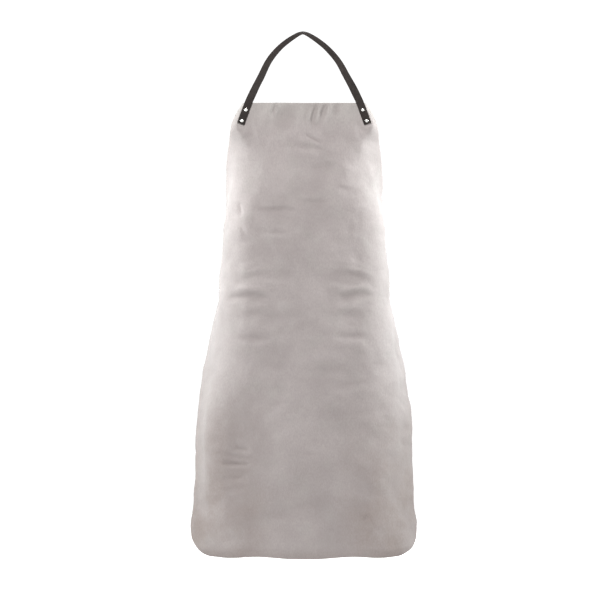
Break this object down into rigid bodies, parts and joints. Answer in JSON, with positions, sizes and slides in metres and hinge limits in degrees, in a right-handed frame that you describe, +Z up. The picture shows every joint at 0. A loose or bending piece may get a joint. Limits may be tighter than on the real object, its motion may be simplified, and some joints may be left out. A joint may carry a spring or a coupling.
{
  "type": "bib apron",
  "caption": "Long split-leather bib apron, wrapped at the sides, with a riveted neck strap to hang it by and a buckled waist strap behind.",
  "frame": {"origin": "hook seat: middle of the underside of the neck strap where it passes over a hook", "axes": "+Z up, the apron's front faces -Y, +X to the right of someone facing the front"},
  "size_m": [0.542, 0.2717, 1.2439],
  "materials": {
    "hide": "soft grey split leather with a short suede nap",
    "strap_leather": "dark brown finished leather, satin",
    "rivet_metal": "bright nickel plate",
    "buckle_metal": "nickel plate, slightly worn"
  },
  "bodies": {
    "apron": {"apron_panel": "hide", "buckle_frame": "buckle_metal", "fold_rivet_base": "rivet_metal", "fold_rivet_cap": "rivet_metal", "neck_rivet_left_lower_base": "rivet_metal", "neck_rivet_left_lower_cap": "rivet_metal", "neck_rivet_left_upper_base": "rivet_metal", "neck_rivet_left_upper_cap": "rivet_metal", "neck_rivet_right_lower_base": "rivet_metal", "neck_rivet_right_lower_cap": "rivet_metal", "neck_rivet_right_upper_base": "rivet_metal", "neck_rivet_right_upper_cap": "rivet_metal", "neck_strap": "strap_leather", "waist_rivet_left_front_base": "rivet_metal", "waist_rivet_left_front_cap": "rivet_metal", "waist_rivet_left_rear_base": "rivet_metal", "waist_rivet_left_rear_cap": "rivet_metal", "waist_rivet_right_front_base": "rivet_metal", "waist_rivet_right_front_cap": "rivet_metal", "waist_rivet_right_rear_base": "rivet_metal", "waist_rivet_right_rear_cap": "rivet_metal", "waist_strap_left": "strap_leather", "waist_strap_right": "strap_leather"},
    "prong": {"buckle_prong": "buckle_metal"},
    "keeper": {"strap_keeper": "strap_leather"}
  },
  "joints": [
    {"name": "prong_swing", "type": "hinge", "parent": "apron", "child": "prong", "pos_m": [-0.013, 0.196, -0.608], "axis": [0, 0, 1], "range_deg": [0, 12]},
    {"name": "keeper_slide", "type": "slide", "parent": "apron", "child": "keeper", "axis": [1, 0, 0], "range_m": [-0.012, 0.012]}
  ]
}
